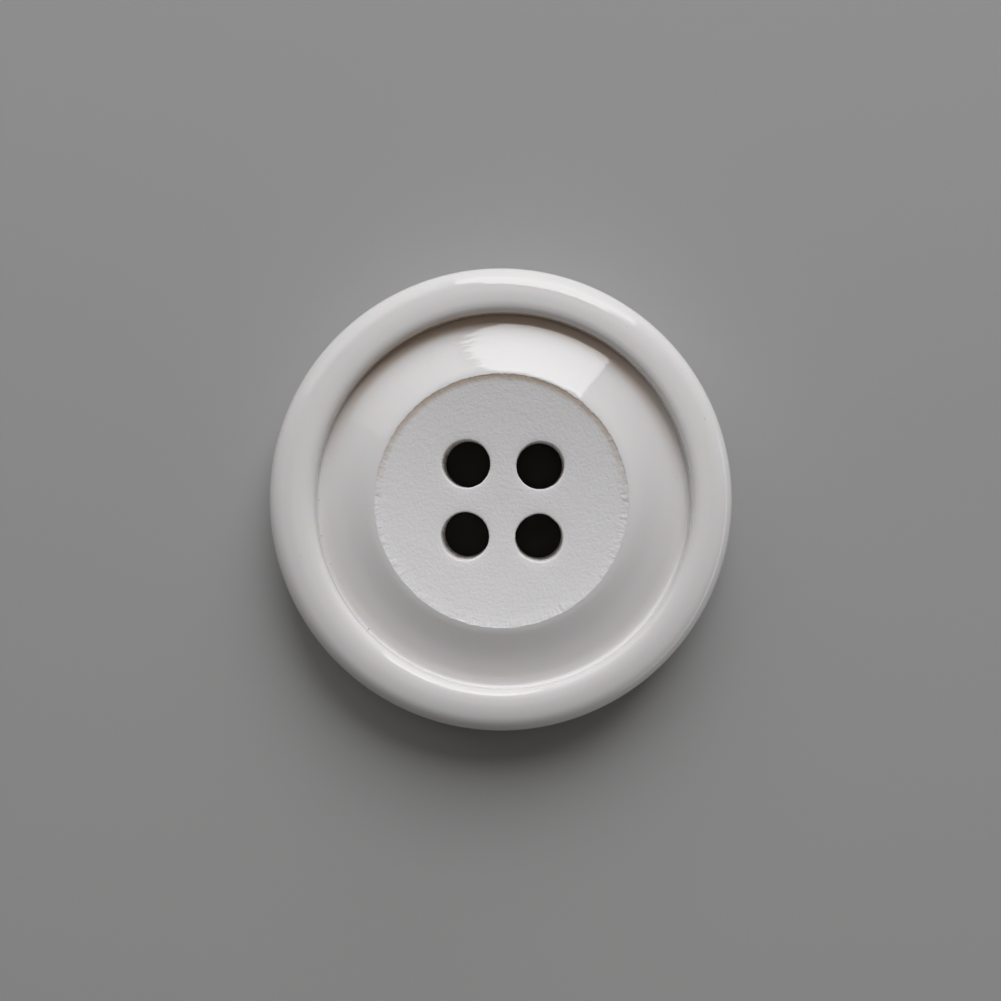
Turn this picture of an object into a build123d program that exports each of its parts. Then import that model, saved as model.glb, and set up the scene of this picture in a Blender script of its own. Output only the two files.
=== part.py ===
# Sew-on coat button, 40 ligne, four holes, raised round rim.
#
# Two pieces, bonded together:
#   button_body    glossy moulded and turned body: back, rounded rim, sloping cove and a
#                  flat-bottomed pocket in the raised hub
#   centre_insert  matt dished disc that fills the pocket, its edge just below the hub's lip
# The four thread holes run on through both pieces.
#
# Frame: origin at the middle of the back face, +Z out of the front face, the four holes
# square to X and Y. Millimetres. A "tilt" is the angle in degrees between a surface and
# the XY plane. Section points are (distance from the Z axis, z).

from build123d import *
from math import asin, cos, degrees, hypot, pi, radians, sin, sqrt, tan
import os

os.makedirs("parts", exist_ok=True)

# ---------------------------------------------------------------- driving dimensions
button_d = 25.4          # 40 ligne: one ligne is 1/40 inch of diameter
button_t = 4.40          # back face to rim crest

# rim, outer half: three tangent arcs from the crest down to the widest circle
crest_r = 11.07          # radius of the highest circle of the rim
crest_out_round = 2.71   # section radius just outside the crest
shoulder_tilt = 15.0     # tilt where the crest arc runs into the shoulder arc
shoulder_round = 1.16    # section radius of the shoulder
side_tilt = 79.0         # tilt where the shoulder arc runs into the nearly upright side

# rim, inner half: three tangent arcs down to an upright wall
crest_in_round = 3.10    # section radius just inside the crest
crest_in_tilt = 5.5      # tilt where the crest arc runs into the lip arc
lip_round = 1.10         # section radius of the inner lip
lip_tilt = 19.0          # tilt where the lip arc runs into the edge arc
lip_edge_round = 0.46    # section radius of the lip's edge, down to the wall

# back
back_flat_r = 9.20       # the back is flat out to here
heel_round = 1.10        # small section radius under the widest circle

# hub and cove
hub_z = 4.38             # top of the hub's lip, at the pocket's edge
hub_tilt = 9.0           # tilt of the lip at the pocket's edge
hub_edge_round = 1.20    # section radius of the lip's edge
hub_edge_tilt = 14.0     # tilt where the edge arc runs into the hub arc
hub_round = 2.10         # convex section radius from the lip into the cove
cove_tilt = 24.0         # tilt of the straight upper part of the cove
cove_straight = 1.10     # radial width of that straight part
cove_round = 8.5         # shallow concave section radius of the lower part
groove_fillet = 0.09     # corner radius at the bottom of the groove

# pocket and insert
pocket_r = 6.84
pocket_floor_z = 2.20
bond_gap = 0.03          # radial gap that the adhesive fills
insert_edge_z = 4.37     # top of the insert at its edge
dish_round = 40.0        # spherical radius of the middle of the dish
dish_r1 = 4.90           # the spherical middle ends here
dish_r2 = 6.40           # from here the dish turns up to the edge
dish_tilt2 = 10.0        # nominal tilt of the dish at dish_r2
dish_tilt3 = 14.0        # tilt of the dish at the insert's edge
dish_tilt_trim = 1.0     # taken off the mean tilt of the band outside dish_r2

# thread holes
hole_d = 2.60
hole_pitch = 4.00        # centre to centre, along X and along Y
hole_edge_round = 0.08   # broken edge at the front of each hole
back_edge_round = 0.10   # broken edge at the back of each hole

button_r = button_d / 2
hole_r = hole_d / 2
insert_r = pocket_r - bond_gap


# ---------------------------------------------------------------- section geometry
def on_arc(centre, radius, tilt):
    """Point of a convex section arc where the surface has this tilt.

    0 is the top of the circle, 90 its outer side, 180 its bottom and -90 its inner side."""
    return (centre[0] + radius * sin(radians(tilt)), centre[1] + radius * cos(radians(tilt)))


def next_centre(point, radius, tilt):
    """Centre of a convex arc that carries on from a point with this tilt."""
    return (point[0] - radius * sin(radians(tilt)), point[1] - radius * cos(radians(tilt)))


def on_hollow(centre, radius, axis_distance):
    """Point of a concave section arc at this distance from the Z axis."""
    return (axis_distance, centre[1] - sqrt(radius**2 - (axis_distance - centre[0]) ** 2))


def convex_arcs(arcs):
    """Draw section arcs, each given as (centre, radius, start tilt, end tilt)."""
    for centre, radius, start, end in arcs:
        ThreePointArc(*(on_arc(centre, radius, tilt) for tilt in (start, (start + end) / 2, end)))


# rim, outer half
crest_out_centre = (crest_r, button_t - crest_out_round)
shoulder_top = on_arc(crest_out_centre, crest_out_round, shoulder_tilt)
shoulder_centre = next_centre(shoulder_top, shoulder_round, shoulder_tilt)
side_top = on_arc(shoulder_centre, shoulder_round, side_tilt)
# the side arc ends upright at the widest circle, which sets its radius
side_round = (button_r - side_top[0]) / (1 - sin(radians(side_tilt)))
widest_z = side_top[1] - side_round * cos(radians(side_tilt))
side_centre = (button_r - side_round, widest_z)

# rim, inner half
crest_in_centre = (crest_r, button_t - crest_in_round)
crest_in_end = on_arc(crest_in_centre, crest_in_round, -crest_in_tilt)
lip_centre = next_centre(crest_in_end, lip_round, -crest_in_tilt)
lip_end = on_arc(lip_centre, lip_round, -lip_tilt)
lip_edge_centre = next_centre(lip_end, lip_edge_round, -lip_tilt)
rim_wall_r = lip_edge_centre[0] - lip_edge_round
rim_wall_top = (rim_wall_r, lip_edge_centre[1])

# back edge: a large arc tangent to the back, then the small heel arc tangent to the side
heel_centre = (button_r - heel_round, widest_z)
back_round = (widest_z**2 + (heel_centre[0] - back_flat_r) ** 2 - heel_round**2) / (
    2 * (widest_z - heel_round)
)
back_centre = (back_flat_r, back_round)
heel_tilt = 90 + degrees(asin((back_round - widest_z) / (back_round - heel_round)))

# hub and cove
hub_edge_centre = next_centre((pocket_r, hub_z), hub_edge_round, hub_tilt)
hub_edge_end = on_arc(hub_edge_centre, hub_edge_round, hub_edge_tilt)
hub_centre = next_centre(hub_edge_end, hub_round, hub_edge_tilt)
hub_end = on_arc(hub_centre, hub_round, cove_tilt)
cove_top = (hub_end[0] + cove_straight, hub_end[1] - cove_straight * tan(radians(cove_tilt)))
cove_centre = (
    cove_top[0] + cove_round * sin(radians(cove_tilt)),
    cove_top[1] + cove_round * cos(radians(cove_tilt)),
)
cove_mid = on_hollow(cove_centre, cove_round, (cove_top[0] + rim_wall_r) / 2)
cove_foot = on_hollow(cove_centre, cove_round, rim_wall_r)

# dish: heights worked inwards from the insert's edge, using the mean tilt of each band
dish_tilt1 = degrees(asin(dish_r1 / dish_round))
outer_band_tilt = (dish_tilt2 + dish_tilt3) / 2 - dish_tilt_trim
inner_band_tilt = (dish_tilt1 + dish_tilt2) / 2
dish_z2 = insert_edge_z - (insert_r - dish_r2) * tan(radians(outer_band_tilt))
dish_z1 = dish_z2 - (dish_r2 - dish_r1) * tan(radians(inner_band_tilt))
dish_centre = (0, dish_z1 + sqrt(dish_round**2 - dish_r1**2))
dish_bottom = (0, dish_centre[1] - dish_round)


# ---------------------------------------------------------------- button body
def make_button_body():
    with BuildPart() as body:
        with BuildSketch(Plane.XZ):
            with BuildLine():
                Line((0, 0), (back_flat_r, 0))
                # from the flat back, round the rim and over its crest to the inner wall
                convex_arcs([
                    (back_centre, back_round, 180, heel_tilt),
                    (heel_centre, heel_round, heel_tilt, 90),
                    (side_centre, side_round, 90, side_tilt),
                    (shoulder_centre, shoulder_round, side_tilt, shoulder_tilt),
                    (crest_out_centre, crest_out_round, shoulder_tilt, 0),
                    (crest_in_centre, crest_in_round, 0, -crest_in_tilt),
                    (lip_centre, lip_round, -crest_in_tilt, -lip_tilt),
                    (lip_edge_centre, lip_edge_round, -lip_tilt, -90),
                ])
                Line(rim_wall_top, cove_foot)
                # up the cove and over the hub's lip
                ThreePointArc(cove_foot, cove_mid, cove_top)
                Line(cove_top, hub_end)
                convex_arcs([
                    (hub_centre, hub_round, cove_tilt, hub_edge_tilt),
                    (hub_edge_centre, hub_edge_round, hub_edge_tilt, hub_tilt),
                ])
                # pocket wall and floor, then back along the axis
                Line((pocket_r, hub_z), (pocket_r, pocket_floor_z))
                Line((pocket_r, pocket_floor_z), (0, pocket_floor_z))
                Line((0, pocket_floor_z), (0, 0))
            make_face()
        revolve(axis=Axis.Z)

        # the groove's bottom is the lower of the two circles at the rim wall's radius
        groove_edge = (
            body.edges()
            .filter_by(GeomType.CIRCLE)
            .filter_by(lambda e: abs(e.radius - rim_wall_r) < 1e-4)
            .sort_by(Axis.Z)[0]
        )
        fillet(groove_edge, groove_fillet)

        with GridLocations(hole_pitch, hole_pitch, 2, 2):
            Hole(hole_r)
        back_hole_edges = (
            body.edges()
            .filter_by(GeomType.CIRCLE)
            .filter_by(lambda e: abs(e.radius - hole_r) < 1e-4 and abs(e.center().Z) < 1e-4)
        )
        fillet(back_hole_edges, back_edge_round)
    return body.part


# ---------------------------------------------------------------- centre insert
def make_centre_insert():
    with BuildPart() as insert:
        with BuildSketch(Plane.XZ):
            with BuildLine():
                Line((0, pocket_floor_z), (insert_r, pocket_floor_z))
                Line((insert_r, pocket_floor_z), (insert_r, insert_edge_z))
                # from the edge inwards and down, tangent to the spherical middle
                Spline(
                    (insert_r, insert_edge_z),
                    (dish_r2, dish_z2),
                    (dish_r1, dish_z1),
                    tangents=[
                        (-cos(radians(tilt)), -sin(radians(tilt)))
                        for tilt in (dish_tilt3, dish_tilt1)
                    ],
                )
                ThreePointArc(
                    (dish_r1, dish_z1),
                    on_hollow(dish_centre, dish_round, dish_r1 / 2),
                    dish_bottom,
                )
                Line(dish_bottom, (0, pocket_floor_z))
            make_face()
        revolve(axis=Axis.Z)

        with GridLocations(hole_pitch, hole_pitch, 2, 2):
            Hole(hole_r)
        # hole mouths: clear of the floor, off the axis and no longer than about one
        # hole's circumference, which leaves out the large circles of the dish
        floor_clearance = 0.2
        axis_clearance = 1.0
        longest_mouth = 1.1 * pi * hole_d
        mouth_edges = insert.edges().filter_by(
            lambda e: e.bounding_box().min.Z > pocket_floor_z + floor_clearance
            and hypot(e.center().X, e.center().Y) > axis_clearance
            and e.length < longest_mouth
        )
        fillet(mouth_edges, hole_edge_round)
    return insert.part


# ---------------------------------------------------------------- export
for name, make_piece in (
    ("button_body", make_button_body),
    ("centre_insert", make_centre_insert),
):
    piece = make_piece()
    piece.label = name
    export_step(piece, f"parts/{name}.step")
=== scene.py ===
import math

import bmesh
import bpy
import numpy as np
from mathutils import Matrix, Vector


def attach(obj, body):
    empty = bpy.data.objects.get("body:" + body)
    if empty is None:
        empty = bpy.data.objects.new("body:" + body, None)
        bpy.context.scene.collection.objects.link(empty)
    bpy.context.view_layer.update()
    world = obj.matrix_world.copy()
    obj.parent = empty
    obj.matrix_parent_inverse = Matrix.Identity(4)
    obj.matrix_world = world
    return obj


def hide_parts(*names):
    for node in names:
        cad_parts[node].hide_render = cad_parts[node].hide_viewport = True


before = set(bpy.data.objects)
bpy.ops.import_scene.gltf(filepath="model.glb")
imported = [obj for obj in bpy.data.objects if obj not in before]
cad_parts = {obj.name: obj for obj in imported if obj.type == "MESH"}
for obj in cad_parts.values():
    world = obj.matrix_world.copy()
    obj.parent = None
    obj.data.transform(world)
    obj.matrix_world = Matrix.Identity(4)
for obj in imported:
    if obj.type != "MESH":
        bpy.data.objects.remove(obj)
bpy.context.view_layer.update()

MM = 0.001
DEG = math.pi / 180.0

# ------------------------------------------------------------------ sizes
OUTER_R, THICKNESS = 12.70, 4.40
BACK_FLAT_R = 9.20
HUB_Z, POCKET_R, POCKET_FLOOR_Z = 4.38, 6.84, 2.20
INSERT_R, INSERT_EDGE_Z = 6.848, 4.375
HOLE_R, PITCH = 1.30, 4.00
HALF_PITCH = PITCH / 2

# small run-out of the turned features against each other, as on a real turned button
RIM_RUNOUT = np.array([-0.040, 0.010])
GROOVE_RUNOUT = np.array([0.107, -0.070])
HUB_RUNOUT = np.array([0.018, -0.036])
CORNERS = np.array([(1, 1), (-1, 1), (-1, -1), (1, -1)])
HOLE_RUNOUTS = np.array([(0.070, -0.107), (0.064, -0.096), (0.081, -0.020), (0.091, -0.026)])
HOLE_CENTRES = HALF_PITCH * CORNERS + HOLE_RUNOUTS


# ------------------------------------------------------------------ seeded noise
def lattice_hash(ix, iy, seed):
    h = ix.astype(np.int64) * 374761393 + iy.astype(np.int64) * 668265263 + seed * 974634777
    h = h & 0xFFFFFFFF
    h = ((h ^ (h >> 13)) * 1274126177) & 0xFFFFFFFF
    h = (h ^ (h >> 16)) & 0xFFFFFFFF
    return h / 4294967295.0 * 2.0 - 1.0


def noise2(x, y, seed):
    """Smooth value noise in -1..1 on a unit lattice."""
    ix, iy = np.floor(x), np.floor(y)
    fx, fy = x - ix, y - iy
    fx = fx * fx * fx * (fx * (fx * 6 - 15) + 10)
    fy = fy * fy * fy * (fy * (fy * 6 - 15) + 10)
    low = lattice_hash(ix, iy, seed) * (1 - fx) + lattice_hash(ix + 1, iy, seed) * fx
    high = lattice_hash(ix, iy + 1, seed) * (1 - fx) + lattice_hash(ix + 1, iy + 1, seed) * fx
    return low * (1 - fy) + high * fy


def fbm2(x, y, seed):
    """Two octaves of noise2, the finer one at half strength."""
    total, strength, norm = 0.0, 1.0, 0.0
    for k in range(2):
        octave = noise2(x * 2**k + 17.3 * k, y * 2**k - 9.1 * k, seed + k)
        total = total + strength * octave
        norm += strength
        strength *= 0.5
    return total / norm


def ring_noise(phi, waves, seed):
    """Noise along a closed circle, `waves` cells around it."""
    t = np.mod(phi / (2 * math.pi), 1.0) * waves
    i = np.floor(t)
    f = t - i
    f = f * f * (3 - 2 * f)
    row = np.zeros_like(t)
    here = lattice_hash(np.mod(i, waves), row, seed)
    ahead = lattice_hash(np.mod(i + 1, waves), row, seed)
    return here * (1 - f) + ahead * f


def smooth(start, end, x):
    t = np.clip((x - start) / (end - start), 0, 1)
    return t * t * (3 - 2 * t)


def bell(phi, middle, width):
    """1 at the angle `middle`, falling off to both sides round the circle."""
    return np.exp(-((np.angle(np.exp(1j * (phi - middle))) / width) ** 2))


# ------------------------------------------------------------------ section of the body
# Points are (radius, z). Tilts are in degrees from +Z, positive outwards. Each arc starts on
# the end of the one before it, with the same tangent.
def on_arc(centre, radius, tilt):
    return (centre[0] + radius * math.sin(tilt * DEG), centre[1] + radius * math.cos(tilt * DEG))


def arc_centre(point, radius, tilt):
    return (point[0] - radius * math.sin(tilt * DEG), point[1] - radius * math.cos(tilt * DEG))


# from the crest outwards
CREST_R = 11.07
CREST_OUTER, SHOULDER = 2.71, 1.16
SHOULDER_TILT, SIDE_TILT = 15.0, 79.0
crest_outer_c = (CREST_R, THICKNESS - CREST_OUTER)
shoulder_c = arc_centre(on_arc(crest_outer_c, CREST_OUTER, SHOULDER_TILT), SHOULDER, SHOULDER_TILT)
side_start = on_arc(shoulder_c, SHOULDER, SIDE_TILT)
side_radius = (OUTER_R - side_start[0]) / (1 - math.sin(SIDE_TILT * DEG))
side_c = (OUTER_R - side_radius, side_start[1] - side_radius * math.cos(SIDE_TILT * DEG))

# from the crest inwards, down to the upright wall of the groove
CREST_INNER, LIP, LIP_EDGE = 3.10, 1.10, 0.46
LIP_TILT, LIP_EDGE_TILT = -5.5, -19.0
crest_inner_c = (CREST_R, THICKNESS - CREST_INNER)
lip_c = arc_centre(on_arc(crest_inner_c, CREST_INNER, LIP_TILT), LIP, LIP_TILT)
lip_edge_c = arc_centre(on_arc(lip_c, LIP, LIP_EDGE_TILT), LIP_EDGE, LIP_EDGE_TILT)
WALL_R = lip_edge_c[0] - LIP_EDGE
GROOVE_FILLET = 0.09

# heel: a tight arc under the widest point, then a long one to the flat of the back
HEEL = 1.10
widest_z = side_c[1]
heel_run = OUTER_R - HEEL - BACK_FLAT_R
back_radius = (widest_z**2 + heel_run**2 - HEEL**2) / (2 * (widest_z - HEEL))
heel_angle = math.degrees(math.asin((back_radius - widest_z) / (back_radius - HEEL)))

# from the pocket's edge outwards: two arcs, a short straight and the hollow cove
HUB_EDGE, HUB, COVE = 1.20, 2.10, 8.5
HUB_EDGE_TILT, HUB_TILT, COVE_TILT = 9.0, 14.0, 24.0
STRAIGHT_RUN = 1.10
hub_edge_c = arc_centre((POCKET_R, HUB_Z), HUB_EDGE, HUB_EDGE_TILT)
hub_c = arc_centre(on_arc(hub_edge_c, HUB_EDGE, HUB_TILT), HUB, HUB_TILT)
hub_end = on_arc(hub_c, HUB, COVE_TILT)
cove_start = (hub_end[0] + STRAIGHT_RUN, hub_end[1] - STRAIGHT_RUN * math.tan(COVE_TILT * DEG))
cove_c = on_arc(cove_start, COVE, COVE_TILT)

# tag, centre, radius, first tilt, last tilt, steps
RIM_ARCS = (
    ("rim", side_c, side_radius, 90, SIDE_TILT, 7),
    ("rim", shoulder_c, SHOULDER, SIDE_TILT, SHOULDER_TILT, 17),
    ("rim", crest_outer_c, CREST_OUTER, SHOULDER_TILT, 0, 7),
    ("lip", crest_inner_c, CREST_INNER, 0, LIP_TILT, 3),
    ("lip", lip_c, LIP, LIP_TILT, LIP_EDGE_TILT, 6),
    ("lip", lip_edge_c, LIP_EDGE, LIP_EDGE_TILT, -90, 14),
)
HUB_ARCS = (
    ("hub", hub_c, HUB, COVE_TILT, HUB_TILT, 7),
    ("hub", hub_edge_c, HUB_EDGE, HUB_TILT, HUB_EDGE_TILT, 4),
)


def arc_rows(arcs):
    return [
        on_arc(centre, radius, first + (last - first) * i / steps) + (tag,)
        for tag, centre, radius, first, last, steps in arcs
        for i in range(1, steps + 1)
    ]


def cove_z(r):
    if r < cove_start[0]:
        return hub_end[1] - (r - hub_end[0]) * math.tan(COVE_TILT * DEG)
    return cove_c[1] - math.sqrt(COVE**2 - (cove_c[0] - r) ** 2)


def back_rows():
    rows = [(BACK_FLAT_R, 0.0, "back")]
    for i in range(1, 7):
        a = (90 + (heel_angle - 90) * i / 6) * DEG
        r = BACK_FLAT_R + back_radius * math.cos(a)
        rows.append((r, back_radius - back_radius * math.sin(a), "back"))
    for i in range(1, 8):
        a = heel_angle * (1 - i / 7) * DEG
        rows.append((OUTER_R - HEEL + HEEL * math.cos(a), widest_z - HEEL * math.sin(a), "back"))
    return rows


def groove_rows():
    """The groove's wall and the small round in its corner."""
    foot, wall_top = cove_z(WALL_R), lip_edge_c[1]
    rows = [
        (WALL_R, wall_top + (foot + GROOVE_FILLET - wall_top) * t, "groove")
        for t in (0.35, 0.7, 0.88)
    ]
    # the fillet touches the wall and the line of the cove
    slope = math.atan((cove_z(WALL_R - 0.01) - foot) / 0.01)
    fillet_r = WALL_R - GROOVE_FILLET
    fillet_z = foot + GROOVE_FILLET * math.tan(slope) + GROOVE_FILLET / math.cos(slope)
    for i in range(7):
        a = -(90 - math.degrees(slope)) * i / 6 * DEG
        r = fillet_r + GROOVE_FILLET * math.cos(a)
        rows.append((r, fillet_z + GROOVE_FILLET * math.sin(a), "groove"))
    return rows


def body_rows():
    """(r, z, tag) rows from the back flat, round the rim, to the pocket."""
    rows = back_rows() + arc_rows(RIM_ARCS) + groove_rows()
    groove_end, steps = rows[-1][0], 24
    for i in range(1, steps + 1):
        r = groove_end + (hub_end[0] - groove_end) * i / steps
        rows.append((r, cove_z(r), "cove"))
    rows += arc_rows(HUB_ARCS)
    # a broken, slightly rounded edge, then the pocket's wall
    return rows + [
        (POCKET_R - 0.006, HUB_Z - 0.010, "edge"),
        (POCKET_R - 0.008, HUB_Z - 0.035, "edge"),
        (POCKET_R - 0.004, HUB_Z - 0.080, "edge"),
        (POCKET_R, HUB_Z - 0.16, "wall"),
        (POCKET_R, 3.2, "wall"),
    ]


# ------------------------------------------------------------------ dished top of the insert
# slope in degrees at each radius: an even dish with a turned-up edge
SLOPE_R = [0.0, 4.90, 5.66, 6.14, 6.36, 6.52, 6.68, 6.87]
SLOPE_DEG = [0.0, 7.0, 8.0, 8.6, 9.3, 10.8, 12.2, 12.6]
dish_r = np.linspace(0, SLOPE_R[-1], 700)
dish_slope = np.tan(np.interp(dish_r, SLOPE_R, SLOPE_DEG) * DEG)
dish_steps = (dish_slope[1:] + dish_slope[:-1]) / 2 * np.diff(dish_r)
dish_rise = np.concatenate([[0], np.cumsum(dish_steps)])
dish_height = dish_rise - dish_rise[-1] + INSERT_EDGE_Z


# ------------------------------------------------------------------ quad sheets with four holes
def circle(centre, radius, angles):
    x = centre[0] + radius * np.cos(angles)
    return np.stack([x, centre[1] + radius * np.sin(angles)], -1)


def ring_angles(count):
    return np.arange(count) * (2 * math.pi / count) + math.pi / 4


def square_walk(per_side):
    """Square of half side 1, walked counter-clockwise from its (+, +) corner."""
    k = np.arange(4 * per_side)
    side, t = k // per_side, (k % per_side) / per_side
    x = np.choose(side, [1 - 2 * t, -1 + 0 * t, -1 + 2 * t, 1 + 0 * t])
    y = np.choose(side, [1 + 0 * t, 1 - 2 * t, -1 + 0 * t, -1 + 2 * t])
    return np.stack([x, y], -1)


def blend(start, end, steps):
    return [start * (1 - i / steps) + end * (i / steps) for i in range(1, steps + 1)]


def sheet(per_side, near, hole_blend, centre, blend_r, outer_blend, outer_radii):
    """Flat all-quad sheet: four round holes on a square, out to a circle.

    near: distances from a hole's wall of its round rings. Returns points (N, 2), quads,
    the four hole loops, the outer loop and each point's distance from the nearest wall."""
    grids = []
    hole_angles = ring_angles(4 * per_side)
    for corner, hole_c in zip(CORNERS, HOLE_CENTRES):
        rings = [circle(hole_c, HOLE_R + d, hole_angles) for d in near]
        square = HALF_PITCH * (corner + square_walk(per_side))
        grids.append(np.array(rings + blend(rings[-1], square, hole_blend)))
    square = PITCH * square_walk(2 * per_side)
    outer_angles = ring_angles(8 * per_side)
    rings = [square] + blend(square, circle(centre, blend_r, outer_angles), outer_blend)
    rings += [circle(centre, r, outer_angles) for r in outer_radii]
    grids.append(np.array(rings))

    # merge the points that the grids share
    points = np.concatenate([grid.reshape(-1, 2) for grid in grids])
    key = np.floor(points * 1e5 + 0.37).astype(np.int64)
    _, first_at, inverse = np.unique(key, axis=0, return_index=True, return_inverse=True)
    inverse = inverse.reshape(-1)
    quads, base, index = [], 0, []
    for grid in grids:
        rows, cols = grid.shape[:2]
        ids = inverse[base : base + rows * cols].reshape(rows, cols)
        index.append(ids)
        ahead = np.roll(ids, -1, 1)
        quads.append(np.stack([ids[:-1], ids[1:], ahead[1:], ahead[:-1]], -1).reshape(-1, 4))
        base += rows * cols
    points = points[first_at]
    distance = np.full(len(points), 1e9)
    for x, y in HOLE_CENTRES:
        distance = np.minimum(distance, np.hypot(points[:, 0] - x, points[:, 1] - y) - HOLE_R)
    hole_loops = [ids[0] for ids in index[:4]]
    return points, np.concatenate(quads), hole_loops, index[4][-1], distance


def round_steps(fillet, tilts):
    """Distances from a wall at which a rounded edge of that radius gets its rings."""
    return [fillet * (1 - math.sin(a * DEG)) for a in tilts]


def round_drop(fillet, distance):
    d = np.clip(fillet - distance, 0, fillet)
    return fillet - np.sqrt(np.maximum(fillet * fillet - d * d, 0))


class Shell:
    """Collects points and quads of one closed piece."""

    def __init__(self):
        self.points, self.faces, self.count = [], [], 0

    def add(self, xy, z):
        """Adds points at height z (one value or one each) and returns their indices."""
        self.points.append(np.column_stack([xy, np.broadcast_to(z, len(xy))]))
        first = self.count
        self.count += len(xy)
        return first + np.arange(len(xy))

    def bridge(self, lower, upper):
        """Quads between two closed loops of the same length."""
        quads = [lower, np.roll(lower, -1), np.roll(upper, -1), upper]
        self.faces.append(np.stack(quads, -1))

    def build(self, name):
        xyz = np.concatenate(self.points) * MM
        mesh = bpy.data.meshes.new(name)
        mesh.from_pydata(xyz.tolist(), [], np.concatenate(self.faces).tolist())
        mesh.update()
        bm = bmesh.new()
        bm.from_mesh(mesh)
        bmesh.ops.recalc_face_normals(bm, faces=bm.faces)
        bm.to_mesh(mesh)
        bm.free()
        mesh.shade_smooth()
        ob = bpy.data.objects.new(name, mesh)
        bpy.context.scene.collection.objects.link(ob)
        return ob


# lobes, amplitude and phase of each hole's out-of-round
HOLE_LOBES = [(2, 0.006, 0.4), (3, 0.004, 1.1), (2, 0.008, 2.0), (3, 0.014, -0.9)]


def hole_shape(phi, which, depth):
    """Small out-of-round of each drilled hole, in mm, at angle phi round it."""
    lobes, amplitude, phase = HOLE_LOBES[which]
    push = amplitude * np.cos(lobes * (phi - phase))
    push = push + 0.007 * ring_noise(phi, waves=40, seed=50 + which)
    push = push + 0.006 * ring_noise(phi, waves=90, seed=55 + which)
    if which == 3:
        push = push - 0.045 * bell(phi, middle=0.87, width=0.42)
    if which == 1:
        ragged = bell(phi, middle=3.05, width=0.35)
        push = push + 0.022 * ragged * ring_noise(phi, waves=110, seed=61)
    return push * (1.0 - 0.3 * depth)


# ------------------------------------------------------------------ centre insert
MOUTH_FILLET = 0.075
# nicks in the mouth of the last hole: angle, width, depth
NICKS = ((-2.42, 0.085, 0.030), (-2.05, 0.05, 0.020))


def insert_height(x, y, distance):
    """Height of the insert's face; distance is measured from the nearest hole's wall."""
    rx, ry = x - HUB_RUNOUT[0], y - HUB_RUNOUT[1]
    r, phi = np.hypot(rx, ry), np.arctan2(ry, rx)
    z = np.interp(r, dish_r, dish_height)
    # rolled edges of the thread holes: a soft dubbing and a tight round
    z -= 0.034 * np.exp(-distance / 0.21)
    z -= round_drop(MOUTH_FILLET, distance)
    # slow unevenness, facing marks of the lathe and the fine grain of the cut face
    away = smooth(0.02, 0.2, distance)
    z += 0.0030 * fbm2(x / 1.9, y / 1.9, seed=3)
    arcs = np.sin(r * 34.0 + 2.2 * noise2(x * 0.9, y * 0.9, seed=8) + 0.8 * np.sin(3 * phi))
    z += away * 0.00050 * arcs * smooth(0.6, 2.0, r)
    z += away * 0.00115 * fbm2(x / 0.17, y / 0.17, seed=11)
    z += away * 0.0010 * fbm2(r / 0.10, phi * r / 0.55, seed=21)
    # radial ticks where the cutter ran up to the edge, strongest at the sides and on -Y
    side = 0.62 + 0.38 * smooth(-0.60, 0.10, -np.sin(phi - 0.12))
    tick = 0.5 * ring_noise(phi, waves=260, seed=31) + 0.6 * ring_noise(phi, waves=380, seed=32)
    patch = 0.65 + 0.35 * smooth(-0.5, 0.6, ring_noise(phi, waves=30, seed=33))
    reach = 6.49 + 0.06 * ring_noise(phi, waves=70, seed=34)
    reach = reach + 0.10 * ring_noise(phi, waves=190, seed=39)
    z += smooth(reach, reach + 0.13, r) * side * patch * 0.024 * tick
    # shallow wrinkles further in, in patches
    wrinkle = 0.6 * ring_noise(phi, waves=150, seed=36)
    wrinkle = wrinkle + 0.4 * ring_noise(phi, waves=290, seed=37)
    patch = smooth(-0.6, 0.5, ring_noise(phi, waves=22, seed=38))
    z += smooth(5.75, 6.45, r) * 0.0065 * wrinkle * patch
    # the outermost ring wanders a little
    z += smooth(6.76, 6.86, r) * 0.016 * ring_noise(phi, waves=140, seed=35) * side
    return z


def wear_mouths(xy, z):
    """Copies of the face's points with the hole mouths out of round and one of them nicked."""
    xy, z = xy.copy(), z.copy()
    for which, centre in enumerate(HOLE_CENTRES):
        dx, dy = xy[:, 0] - centre[0], xy[:, 1] - centre[1]
        radius, phi = np.hypot(dx, dy), np.arctan2(dy, dx)
        outward = np.stack([np.cos(phi), np.sin(phi)], -1)
        beyond = radius > HOLE_R + 0.4
        fade = 1 - smooth(HOLE_R + 0.02, HOLE_R + 0.35, radius)
        fade[beyond] = 0
        xy += (hole_shape(phi, which, 0.0) * fade)[:, None] * outward
        if which == 3:
            for middle, width, deep in NICKS:
                bite = bell(phi, middle, width)
                bite = bite * np.exp(-np.maximum(radius - HOLE_R, 0) / 0.07)
                bite[beyond] = 0
                z -= deep * bite
                xy += (0.5 * deep * bite)[:, None] * outward
    return xy, z


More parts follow.
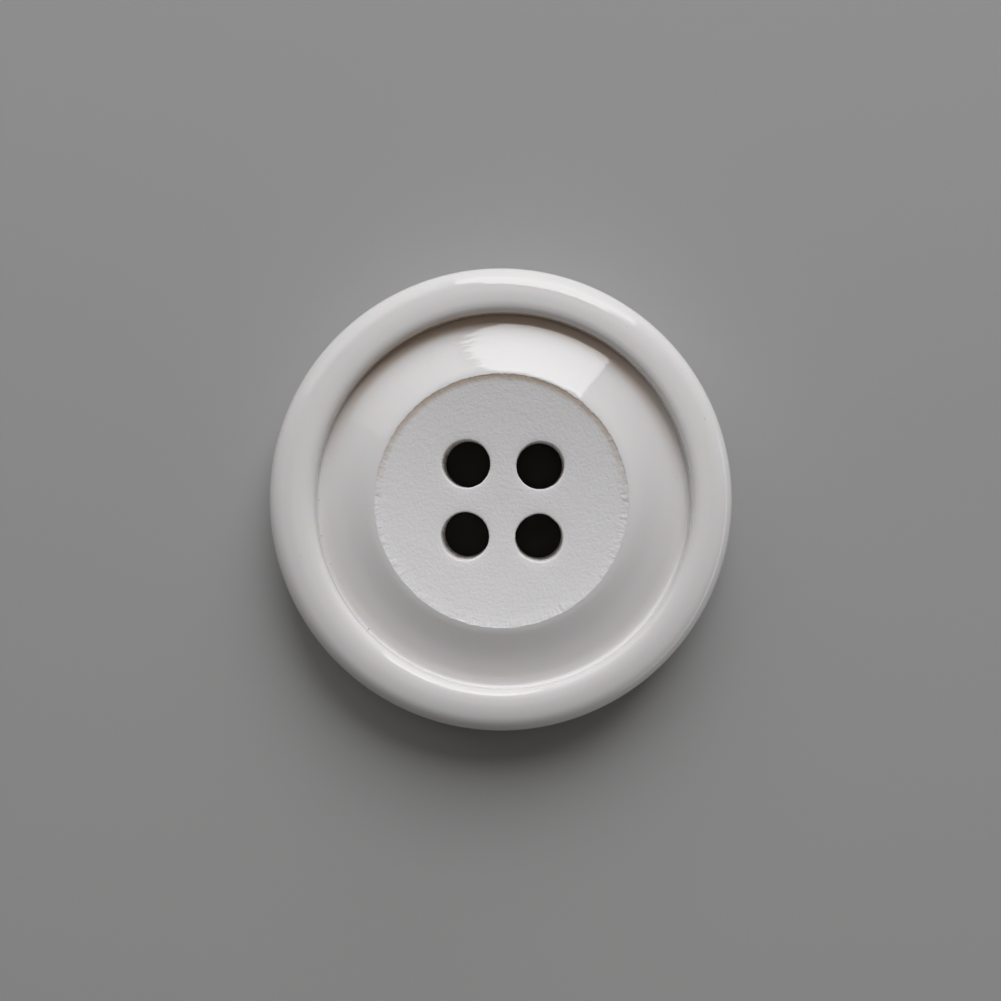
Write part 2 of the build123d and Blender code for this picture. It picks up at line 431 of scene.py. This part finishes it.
def make_insert():
    per_side = 96
    shell = Shell()
    near = round_steps(MOUTH_FILLET, (90, 75, 60, 45, 30, 15, 0)) + [0.10, 0.13, 0.17, 0.22, 0.28]
    blend_r = 6.10
    radii = [blend_r + 0.032 * i for i in range(1, 23)] + [6.818, 6.830, 6.840, INSERT_R]
    xy, quads, holes, outer, distance = sheet(
        per_side, near, 11, HUB_RUNOUT, blend_r, outer_blend=24, outer_radii=radii
    )
    z = insert_height(xy[:, 0], xy[:, 1], distance)
    top = shell.add(*wear_mouths(xy, z))
    shell.faces.append(top[quads])

    xy, quads, under_holes, under_outer, _ = sheet(
        per_side, [0.0, 0.12], 2, HUB_RUNOUT, 6.3, outer_blend=2, outer_radii=[INSERT_R]
    )
    under = shell.add(xy, POCKET_FLOOR_Z)
    shell.faces.append(under[quads])

    angles = ring_angles(4 * per_side)
    for which, centre in enumerate(HOLE_CENTRES):
        above = top[holes[which]]
        mouth_z = z[holes[which]]
        for t in (0.06, 0.16, 0.34, 0.56, 0.78):
            radius = HOLE_R + hole_shape(angles, which, t) * smooth(0, 0.1, t)
            ring_z = mouth_z * (1 - t) + POCKET_FLOOR_Z * t
            ring = shell.add(circle(centre, radius, angles), ring_z)
            shell.bridge(ring, above)
            above = ring
        shell.bridge(under[under_holes[which]], above)

    # outer wall, buried in the pocket
    above = top[outer]
    for ring_z in (3.9, 3.0):
        ring = shell.add(circle(HUB_RUNOUT, INSERT_R, ring_angles(8 * per_side)), ring_z)
        shell.bridge(above, ring)
        above = ring
    shell.bridge(above, under[under_outer])
    return shell.build("centre_insert_matt")


# ------------------------------------------------------------------ button body
BACK_FILLET = 0.10


def row_centres(rows):
    """Centre of each row: the run-out eases from feature to feature along the section."""
    section = np.array([(r, z) for r, z, _ in rows])
    along = np.concatenate([[0], np.cumsum(np.hypot(*np.diff(section, axis=0).T))])
    tags = [tag for _, _, tag in rows]
    lip, groove, cove, hub = [along[tags.index(t)] for t in ("lip", "groove", "cove", "hub")]
    to_groove = smooth(lip - 0.4, groove - 0.1, along)[:, None]
    to_hub = smooth(cove, hub, along)[:, None]
    groove_part = GROOVE_RUNOUT * (to_groove - to_hub)
    return RIM_RUNOUT * (1 - to_groove) + groove_part + HUB_RUNOUT * to_hub


def make_body():
    per_side = 80
    shell = Shell()
    # back sheet with rolled hole edges
    near = round_steps(BACK_FILLET, (90, 60, 30, 0)) + [0.2]
    xy, quads, back_holes, outer, distance = sheet(
        per_side, near, 3, (0.0, 0.0), 6.4, outer_blend=3, outer_radii=[7.6]
    )
    back = shell.add(xy, round_drop(BACK_FILLET, distance))
    shell.faces.append(back[quads])

    previous = back[outer]
    angles = ring_angles(8 * per_side)
    # the hub's edge wanders and is chipped in places
    wander = 0.016 * ring_noise(angles, waves=170, seed=72)
    wander = wander + 0.022 * ring_noise(angles, waves=300, seed=75) - 0.004
    chip = np.clip(ring_noise(angles, waves=280, seed=73) - 0.35, 0, 1)
    chip = chip * np.clip(ring_noise(angles, waves=70, seed=74) + 0.30, 0, 1)
    # hand-polished: the surface wanders by a few microns
    polish = 0.0010 * ring_noise(angles, waves=9, seed=81)
    fine_polish = 0.0005 * ring_noise(angles, waves=23, seed=82)
    rows = body_rows()
    for (r, z, tag), centre in zip(rows, row_centres(rows)):
        if tag in ("hub", "edge"):
            near_edge = smooth(POCKET_R + 0.22, POCKET_R, r)
            r = r + near_edge * (wander + 0.045 * chip)
            z = z - near_edge * 0.018 * chip
        if tag in ("rim", "lip", "cove", "groove"):
            z = z + polish + fine_polish
        ring = shell.add(circle(centre, r, angles), z)
        shell.bridge(previous, ring)
        previous = ring

    xy, quads, floor_holes, outer, _ = sheet(
        per_side, [0.0, 0.12], 2, HUB_RUNOUT, 6.3, outer_blend=2, outer_radii=[POCKET_R]
    )
    floor = shell.add(xy, POCKET_FLOOR_Z - 0.004)
    shell.faces.append(floor[quads])
    shell.bridge(previous, floor[outer])

    angles = ring_angles(4 * per_side)
    for which, centre in enumerate(HOLE_CENTRES):
        below = back[back_holes[which]]
        for t in (0.12, 0.4, 0.7, 0.92):
            radius = HOLE_R + hole_shape(angles, which, 1.0) * smooth(0, 0.12, t)
            ring_z = BACK_FILLET + (POCKET_FLOOR_Z - BACK_FILLET) * t
            ring = shell.add(circle(centre, radius, angles), ring_z)
            shell.bridge(below, ring)
            below = ring
        shell.bridge(below, floor[floor_holes[which]])
    return shell.build("button_body_gloss")


# ------------------------------------------------------------------ materials
class Material:
    """Node tree builder: position in mm, polar coordinates about the Z axis, small helpers."""

    def __init__(self, name, with_angle=True):
        self.material = bpy.data.materials.new(name)
        self.material.use_nodes = True
        self.tree = self.material.node_tree
        to_mm = self.node("ShaderNodeVectorMath", "SCALE")
        to_mm.inputs["Scale"].default_value = 1000.0
        self.put(to_mm.inputs[0], self.node("ShaderNodeTexCoord").outputs["Object"])
        self.point = to_mm.outputs[0]
        split = self.node("ShaderNodeSeparateXYZ")
        self.put(split.inputs[0], self.point)
        self.x, self.y, self.z = split.outputs
        self.r = self.length(self.x, self.y)
        if with_angle:
            self.phi = self.math("ARCTAN2", self.y, self.x)

    def node(self, kind, operation=None):
        node = self.tree.nodes.new(kind)
        if operation:
            node.operation = operation
        return node

    def put(self, socket, value):
        if isinstance(value, bpy.types.NodeSocket):
            self.tree.links.new(value, socket)
        else:
            socket.default_value = value

    def math(self, operation, *values):
        node = self.node("ShaderNodeMath", operation)
        for socket, value in zip(node.inputs, values):
            self.put(socket, value)
        return node.outputs[0]

    def mul(self, a, b):
        return self.math("MULTIPLY", a, b)

    def add(self, a, b):
        return self.math("ADD", a, b)

    def sub(self, a, b):
        return self.math("SUBTRACT", a, b)

    def length(self, x, y):
        return self.math("SQRT", self.add(self.mul(x, x), self.mul(y, y)))

    def plus(self, base, mask, amount):
        return self.add(base, self.mul(mask, amount))

    def ramp(self, value, over, low=0.0, high=1.0):
        """Smooth step from low to high while the value runs over a span."""
        node = self.node("ShaderNodeMapRange")
        node.interpolation_type = "SMOOTHSTEP"
        self.put(node.inputs["Value"], value)
        settings = {"From Min": over[0], "From Max": over[1], "To Min": low, "To Max": high}
        for key, number in settings.items():
            node.inputs[key].default_value = number
        return node.outputs[0]

    def fade(self, value, over):
        return self.ramp(value, over, low=1.0, high=0.0)

    def band(self, value, rising, falling):
        return self.mul(self.ramp(value, rising), self.fade(value, falling))

    def on_face(self):
        """1 on the upper, +Z side of the button."""
        return self.ramp(self.z, over=(2.6, 2.8))

    def vec(self, x, y, z=0.0):
        node = self.node("ShaderNodeCombineXYZ")
        for socket, value in zip(node.inputs, (x, y, z)):
            self.put(socket, value)
        return node.outputs[0]

    def polar(self, radial, around):
        """Coordinates with separate densities along the radius and round the axis."""
        across = self.mul(self.r, radial)
        return self.vec(across, self.mul(self.phi, around), self.mul(self.z, radial * 0.5))

    def noise(self, vector, scale=1.0, detail=2.0, rough=0.5, distortion=0.0):
        node = self.node("ShaderNodeTexNoise")
        self.put(node.inputs["Vector"], vector)
        node.inputs["Scale"].default_value = scale
        node.inputs["Detail"].default_value = detail
        node.inputs["Roughness"].default_value = rough
        node.inputs["Distortion"].default_value = distortion
        return node.outputs["Fac"]

    def tint(self, base, mask, colour, amount=None):
        """Lays a colour over the base where the mask is 1."""
        if amount is not None:
            mask = self.mul(mask, amount)
        node = self.node("ShaderNodeMix")
        node.data_type = "RGBA"
        self.put(node.inputs[0], mask)
        for socket, value in ((node.inputs[6], base), (node.inputs[7], colour)):
            self.put(socket, (*value, 1.0) if isinstance(value, tuple) else value)
        return node.outputs[2]

    def bump(self, height, strength, distance, normal=None):
        node = self.node("ShaderNodeBump")
        node.inputs["Strength"].default_value = strength
        node.inputs["Distance"].default_value = distance
        self.put(node.inputs["Height"], height)
        if normal is not None:
            self.put(node.inputs["Normal"], normal)
        return node.outputs[0]

    def leant_normal(self, aside):
        """The surface normal leant over by a small vector."""
        total = self.node("ShaderNodeVectorMath", "ADD")
        self.put(total.inputs[0], self.node("ShaderNodeNewGeometry").outputs["Normal"])
        self.put(total.inputs[1], aside)
        unit = self.node("ShaderNodeVectorMath", "NORMALIZE")
        self.put(unit.inputs[0], total.outputs[0])
        return unit.outputs[0]

    def spot(self, x, y, radius):
        """1 inside a small round spot at (x, y) mm, with a soft edge."""
        dx2 = self.math("POWER", self.sub(self.x, x), 2.0)
        dy2 = self.math("POWER", self.sub(self.y, y), 2.0)
        distance = self.math("SQRT", self.add(dx2, dy2))
        return self.fade(distance, over=(radius * 0.5, radius * 1.5))

    def finish(self, settings):
        """Sets or links inputs of the Principled shader and returns the material."""
        shader = self.tree.nodes["Principled BSDF"]
        for key, value in settings.items():
            self.put(shader.inputs[key], value)
        return self.material


# dust and pin marks on the body: x, y, radius, strength
SPECKS = (
    (-10.00, -0.22, 0.028, 0.7), (-9.80, -2.18, 0.030, 0.7), (-9.26, -3.70, 0.028, 0.6),
    (-7.12, -7.23, 0.035, 0.8), (9.58, 7.21, 0.022, 0.6), (10.88, 4.59, 0.030, 0.6),
    (6.60, 9.46, 0.020, 0.5), (9.58, 1.40, 0.020, 0.5), (-10.70, -3.22, 0.022, 0.5),
    (7.98, -5.42, 0.020, 0.5), (10.29, -5.42, 0.020, 0.4), (8.91, -7.56, 0.018, 0.4),
)
# drag marks on the cove: angle, half width, strength of the lines, lean just outside the hub
DRAG_MARKS = ((1.74, 0.20, 0.20, 0.028), (0.945, 0.06, 0.04, 0.0))


def gloss_colour(mat):
    """Colour of the body, and the mask of its thread holes."""
    cloud = mat.noise(mat.point, scale=0.22)
    fine = mat.noise(mat.point, scale=6.0, detail=3.0, rough=0.6)
    col = mat.tint((0.868, 0.854, 0.858), cloud, (0.886, 0.872, 0.878))
    col = mat.tint(col, mat.ramp(fine, over=(0.30, 0.75)), (0.82, 0.81, 0.79), amount=0.10)
    # painted shade: the groove on the +Y half, which the rim shades from the key, is darkened and
    # warmed as if lit only by warm bounced light
    groove_shade_paint = mat.band(mat.r, rising=(9.20, 9.75), falling=(10.12, 10.32))
    groove_shade_paint = mat.mul(groove_shade_paint, mat.on_face())
    groove_shade_paint = mat.mul(groove_shade_paint, mat.ramp(mat.math("SINE", mat.phi), over=(0.05, 1.0)))
    col = mat.tint(col, groove_shade_paint, (0.70, 0.565, 0.45), amount=0.85)
    # painted shade: the lower cove and the groove are greyed, most on the -Y half, the side turned
    # away from the key
    lower_cove_shade_paint = mat.band(mat.r, rising=(8.40, 10.0), falling=(10.08, 10.22))
    face = mat.on_face()
    half = mat.ramp(mat.math("SINE", mat.phi), over=(0.15, -0.55), low=0.06, high=0.80)
    col = mat.tint(col, mat.mul(lower_cove_shade_paint, mat.mul(face, half)), (0.70, 0.684, 0.672))
    # painted shade: dark streaks along the groove's wall on the +Y half, where the rim shades it
    from_wall = mat.math("ABSOLUTE", mat.sub(mat.r, WALL_R - 0.02))
    streak = mat.noise(mat.polar(radial=6.0, around=9.0), detail=3.0)
    streak = mat.ramp(streak, over=(0.42, 0.72))
    face = mat.ramp(mat.z, over=(2.4, 3.0))
    groove_wall_shade_paint = mat.mul(mat.fade(from_wall, over=(0.02, 0.14)), face)
    half = mat.ramp(mat.math("SINE", mat.phi), over=(-0.2, 0.4))
    groove_wall_shade_paint = mat.mul(groove_wall_shade_paint, mat.mul(half, mat.mul(streak, 0.08)))
    col = mat.tint(col, groove_wall_shade_paint, (0.36, 0.30, 0.24))
    # inside the thread holes the resin is a touch dull, and its colour is a touch darker and
    # warmer: painted shade in the recess
    in_holes = mat.fade(mat.r, over=(4.6, 4.9))
    in_holes = mat.mul(in_holes, mat.mul(mat.ramp(mat.z, over=(0.04, 0.3)), 0.75))
    col = mat.tint(col, in_holes, (0.90, 0.85, 0.80))
    specks = None
    for x, y, radius, strength in SPECKS:
        speck = mat.mul(mat.spot(x, y, radius), strength)
        specks = speck if specks is None else mat.math("MAXIMUM", specks, speck)
    specks = mat.mul(specks, mat.ramp(mat.z, over=(2.2, 2.6)))
    return mat.tint(col, specks, (0.22, 0.17, 0.14)), in_holes


def gloss_roughness(mat, in_holes, back):
    # the polish wanders, with faint streaks round the turned face
    polish = mat.noise(mat.polar(radial=9.0, around=1.2), detail=3.0, rough=0.6)
    rough = mat.plus(0.018, polish, amount=0.030)
    patches = mat.ramp(mat.noise(mat.point, scale=0.6, detail=3.0), over=(0.45, 0.75))
    rough = mat.plus(rough, patches, amount=0.015)
    rough = mat.plus(rough, back, amount=0.12)
    rough = mat.plus(rough, in_holes, amount=0.35)
    # the polishing wheel does not reach into the corner of the groove
    corner = mat.ramp(mat.r, over=(9.92, 10.06))
    corner = mat.mul(corner, mat.ramp(mat.z, over=(3.62, 3.42)))
    corner = mat.mul(corner, mat.mul(mat.fade(mat.r, over=(10.36, 10.44)), mat.on_face()))
    return mat.plus(rough, corner, amount=0.45)


def gloss_specular(mat):
    """Specular level, lower in a short arc of the crest on the +X +Y side."""
    arc = mat.fade(mat.phi, over=(0.99, 1.22))
    inside = mat.fade(mat.plus(mat.r, arc, amount=-0.34), over=(11.42, 11.56))
    start = mat.mul(mat.ramp(mat.r, over=(11.2, 11.35)), mat.ramp(mat.phi, over=(0.70, 0.80)))
    dull = mat.mul(mat.mul(arc, inside), start)
    return mat.sub(0.43, mat.mul(dull, 0.34))


def gloss_normal(mat, back):
    peel = mat.noise(mat.point, scale=1.1)
    arcs = mat.noise(mat.polar(radial=16.0, around=0.8))
    # drag marks of the polishing wheel: there the surface leans a little round the button
    lean = 0.0
    for angle, half_width, gain, foot in DRAG_MARKS:
        off_angle = mat.math("ABSOLUTE", mat.sub(mat.phi, angle))
        window = mat.fade(off_angle, over=(half_width * 0.5, half_width))
        window = mat.mul(window, mat.band(mat.r, rising=(6.9, 7.1), falling=(9.7, 9.9)))
        window = mat.mul(window, mat.on_face())
        stretched = mat.vec(mat.mul(mat.r, 6.5), mat.mul(mat.phi, 4.0))
        lines = mat.sub(mat.noise(stretched, detail=3.0, rough=0.62), 0.5)
        foot_lean = mat.ramp(mat.r, over=(7.2, 8.1), low=foot, high=0.0)
        marks = mat.add(mat.mul(lines, gain), foot_lean)
        lean = mat.add(lean, mat.mul(window, marks))
    per_mm = mat.math("DIVIDE", lean, mat.r)
    aside = mat.vec(mat.mul(mat.mul(mat.y, -1.0), per_mm), mat.mul(mat.x, per_mm))
    # soft orange peel, fine polishing arcs, turning rings on the back
    normal = mat.bump(peel, strength=0.35, distance=0.0000035, normal=mat.leant_normal(aside))
    normal = mat.bump(arcs, strength=0.25, distance=0.0000006, normal=normal)
    rings = mat.mul(mat.math("SINE", mat.mul(mat.r, 26.0)), back)
    return mat.bump(rings, strength=0.35, distance=0.000003, normal=normal)


def gloss_material():
    mat = Material("gloss_white_resin")
    colour, in_holes = gloss_colour(mat)
    back = mat.ramp(mat.z, over=(0.9, 0.25))
    return mat.finish({
        "Base Color": colour,
        "Roughness": gloss_roughness(mat, in_holes, back),
        "IOR": 1.50,
        "Specular IOR Level": gloss_specular(mat),
        "Subsurface Weight": 0.20,
        "Subsurface Radius": (1.0, 0.62, 0.42),
        "Subsurface Scale": 0.00035,
        "Normal": gloss_normal(mat, back),
    })


def matt_colour(mat, grain, dy, r):
    """Colour of the insert; dy and r are measured from the hub's centre."""

    def toward_y():
        return mat.math("DIVIDE", dy, r)

    cloud = mat.noise(mat.point, scale=0.5, detail=3.0)
    mottle = mat.noise(mat.point, scale=2.4, detail=3.0, rough=0.6)
    col = mat.tint((0.868, 0.857, 0.872), grain, (0.908, 0.897, 0.912))
    cloud = mat.ramp(cloud, over=(0.35, 0.7))
    col = mat.tint(col, cloud, (0.862, 0.856, 0.852), amount=0.25)
    mottle = mat.ramp(mottle, over=(0.55, 0.8))
    col = mat.tint(col, mottle, (0.90, 0.90, 0.905), amount=0.18)
    # pits: sparse tiny dark points
    pits = mat.noise(mat.point, scale=11.0, detail=1.0, rough=0.3)
    pits = mat.ramp(pits, over=(0.735, 0.79))
    col = mat.tint(col, pits, (0.45, 0.42, 0.40), amount=0.30)
    # painted shadow of the body's lip on the face's edge: brownish, towards +Y where the lip
    # shades it, with a thin broken dark line of painted shade along the joint outside it
    wobble = mat.noise(mat.polar(radial=1.0, around=12.0), detail=3.0)
    wobble = mat.mul(mat.sub(wobble, 0.5), 0.08)
    lip_shadow_paint = mat.ramp(mat.add(r, wobble), over=(6.40, 6.74))
    shade = mat.ramp(toward_y(), over=(-0.30, 1.0))
    col = mat.tint(col, mat.mul(lip_shadow_paint, shade), (0.64, 0.525, 0.435), amount=0.95)
    joint_shade_paint = mat.ramp(mat.add(r, wobble), over=(6.74, 6.80))
    broken = mat.ramp(mat.noise(mat.polar(radial=1.0, around=40.0)), over=(0.30, 0.60))
    joint_shade_paint = mat.mul(mat.mul(joint_shade_paint, shade), mat.mul(broken, 0.30))
    col = mat.tint(col, joint_shade_paint, (0.34, 0.25, 0.18))
    # frosted crumbs where the cutter tore the rim of the face, lightened only on the -Y half and
    # the sides, where the torn edge faces the key: partly real crumbs, partly painted highlight
    crumb_and_highlight = mat.ramp(mat.noise(mat.polar(radial=9.0, around=60.0)), over=(0.50, 0.62))
    rim = mat.ramp(r, over=(6.50, 6.66))
    rim = mat.mul(rim, mat.ramp(toward_y(), over=(0.60, 0.0), high=0.62))
    col = mat.tint(col, mat.mul(crumb_and_highlight, rim), (0.97, 0.965, 0.965))
    # hole walls are painted a touch darker and warmer than the face: painted shade in the recess
    hole = mat.mul(mat.fade(mat.r, over=(4.3, 4.5)), mat.ramp(mat.z, over=(3.50, 3.30)))
    col = mat.tint(col, hole, (0.92, 0.87, 0.82), amount=0.8)
    speck = mat.spot(x=4.19, y=-2.33, radius=0.03)
    return mat.tint(col, speck, (0.3, 0.26, 0.24), amount=0.5)


def matt_normal(mat, dy, r):
    grain = mat.noise(mat.point, scale=5.5, detail=4.0, rough=0.62)
    turned = mat.noise(mat.polar(radial=7.0, around=14.0), rough=0.55, distortion=0.4)
    normal = mat.bump(grain, strength=0.8, distance=0.000029)
    normal = mat.bump(turned, strength=0.6, distance=0.000020, normal=normal)
    swirl = mat.noise(mat.point, scale=3.1, distortion=1.3)
    normal = mat.bump(swirl, strength=0.5, distance=0.000030, normal=normal)
    # fine radial tears close to the edge of the face, weakest towards +Y
    tears = mat.noise(mat.polar(radial=1.6, around=62.0), rough=0.55)
    near_rim = mat.ramp(r, over=(6.15, 6.62))
    side = mat.ramp(mat.math("DIVIDE", dy, r), over=(0.75, 0.10), low=0.25)
    tears = mat.mul(tears, mat.mul(near_rim, side))
    return mat.bump(tears, strength=0.8, distance=0.000030, normal=normal)


def matt_material():
    mat = Material("matt_turned_resin")
    grain = mat.noise(mat.point, scale=7.5, detail=4.0, rough=0.62)
    dx = mat.sub(mat.x, float(HUB_RUNOUT[0]))
    dy = mat.sub(mat.y, float(HUB_RUNOUT[1]))
    r = mat.length(dx, dy)
    return mat.finish({
        "Base Color": matt_colour(mat, grain, dy, r),
        "Roughness": mat.plus(0.62, grain, amount=0.16),
        "IOR": 1.46,
        "Specular IOR Level": 0.38,
        "Subsurface Weight": 0.12,
        "Subsurface Radius": (1.0, 0.8, 0.6),
        "Subsurface Scale": 0.0003,
        "Normal": matt_normal(mat, dy, r),
    })


def floor_material():
    mat = Material("plain_floor", with_angle=False)
    soft = mat.noise(mat.point, scale=0.02, detail=3.0)
    col = mat.tint((0.43, 0.43, 0.432), soft, (0.45, 0.45, 0.45))
    # deep shade right under the thread holes
    col = mat.tint(col, mat.fade(mat.r, over=(4.8, 6.0)), (0.03, 0.03, 0.03))
    return mat.finish({"Base Color": col, "Roughness": 0.9, "Specular IOR Level": 0.1})


# ------------------------------------------------------------------ pieces
body = make_body()
body.data.materials.append(gloss_material())
insert = make_insert()
insert.data.materials.append(matt_material())
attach(body, "root")
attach(insert, "root")
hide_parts("button_body")
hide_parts("centre_insert")

bpy.ops.mesh.primitive_plane_add(size=4.0, location=(0, 0, 0))
ground = bpy.context.object
ground.name = "floor"
ground.data.materials.append(floor_material())


# ------------------------------------------------------------------ lights
def area_light(name, shape, size, energy, tint):
    data = bpy.data.lights.new(name, "AREA")
    data.shape = shape
    data.size = size
    data.energy = energy
    data.color = tint
    ob = bpy.data.objects.new(name, data)
    bpy.context.scene.collection.objects.link(ob)
    ob.visible_camera = False
    return ob


def panel(name, azimuth, distance, low, high, width, radiance):
    """Upright rectangular softbox facing the button. Azimuth, elevations of the lower and
    upper edges and the width seen from the button are in degrees."""
    d = distance * MM
    bottom, top = d * math.tan(low * DEG), d * math.tan(high * DEG)
    wide = 2 * d * math.tan(width / 2 * DEG)
    energy = radiance * math.pi * wide * (top - bottom)
    ob = area_light(name, "RECTANGLE", wide, energy, tint=(1.0, 1.002, 1.008))
    ob.data.size_y = top - bottom
    c, s = math.cos(azimuth * DEG), math.sin(azimuth * DEG)
    ob.matrix_world = Matrix((
        (-s, 0, c, d * c),
        (c, 0, s, d * s),
        (0, 1, 0, (bottom + top) / 2),
        (0, 0, 0, 1),
    ))


def overhead(name, place, size, radiance, tint):
    energy = radiance * math.pi * math.pi * (size * MM / 2) ** 2
    ob = area_light(name, "DISK", size * MM, energy, tint)
    ob.location = Vector(place) * MM
    ob.rotation_mode = "QUATERNION"
    ob.rotation_quaternion = ob.location.to_track_quat("Z", "Y")


# The key softbox on the +Y side is hottest at its top; shorter strips round off its top
# corner on the -X side. Bands are lower elevation, upper elevation, radiance.
KEY_DISTANCE = 300.0
KEY_BANDS = (
    (4.0, 24.0, 1.55), (24.0, 41.0, 4.3), (41.0, 44.0, 4.75), (44.0, 47.0, 5.35),
    (47.0, 58.0, 5.9),
)
for low, high, level in KEY_BANDS:
    panel("key_%02d" % low, 75.6, KEY_DISTANCE, low, high, width=43.2, radiance=level)
for low, high, level in KEY_BANDS[:2]:
    panel("key_left_%02d" % low, 100.75, KEY_DISTANCE, low, high, width=7.1, radiance=level)
# azimuth, width, upper elevation
for azimuth, width, high in ((98.4, 2.4, 51.0), (100.8, 2.4, 48.5), (103.15, 2.3, 45.5)):
    panel("key_corner_%03d" % int(azimuth), azimuth, KEY_DISTANCE, 41.0, high, width, radiance=5.2)
# name, azimuth, distance, lower and upper elevation, width, radiance
for side_panel in (
    ("left_wing", 131.5, 320.0, 16.0, 52.0, 46.0, 0.92),
    ("right_low_strip", 340.0, 330.0, 0.5, 8.0, 76.0, 2.2),
    ("left_low_strip", 186.0, 330.0, 0.5, 8.0, 56.0, 0.5),
):
    panel(*side_panel)
overhead("fill_overhead", (0.0, 40.0, 320.0), size=230.0, radiance=0.60, tint=(1.0, 0.94, 0.88))

world = bpy.data.worlds.new("soft_surround")
bpy.context.scene.world = world
world.use_nodes = True
background = world.node_tree.nodes["Background"]
background.inputs["Color"].default_value = (1.0, 0.94, 0.90, 1.0)
background.inputs["Strength"].default_value = 0.025

# ------------------------------------------------------------------ camera
CAMERA_HEIGHT, VIEW_Z = 70.0, 3.4  # height above the plane z = VIEW_Z
VIEW_WIDTH = 54.611  # seen at VIEW_Z
CAMERA_X, CAMERA_Y = 1.10, 1.10
ROLL = 1.18 * DEG
SENSOR = 36.0
TRIM_X, TRIM_Y = 0.00092907093, 0.00087912088  # fractions of the view's width

cam_data = bpy.data.cameras.new("camera")
cam = bpy.data.objects.new("camera", cam_data)
bpy.context.scene.collection.objects.link(cam)
cam.location = (CAMERA_X * MM, CAMERA_Y * MM, (VIEW_Z + CAMERA_HEIGHT) * MM)
cam.rotation_euler = (0.0, 0.0, ROLL)
cam_data.sensor_width = SENSOR
cam_data.lens = SENSOR * CAMERA_HEIGHT / VIEW_WIDTH
# shift so that the button's axis lands close to the middle of the view
axis_x = -CAMERA_X * math.cos(ROLL) - CAMERA_Y * math.sin(ROLL)
axis_y = CAMERA_X * math.sin(ROLL) - CAMERA_Y * math.cos(ROLL)
cam_data.shift_x = axis_x / VIEW_WIDTH - TRIM_X
cam_data.shift_y = axis_y / VIEW_WIDTH - TRIM_Y
cam_data.clip_start = 0.001
cam_data.clip_end = 10.0
bpy.context.scene.camera = cam

view = bpy.context.scene.view_settings
view.view_transform = "Standard"
view.look = "None"
view.exposure = 0.0
view.gamma = 1.0
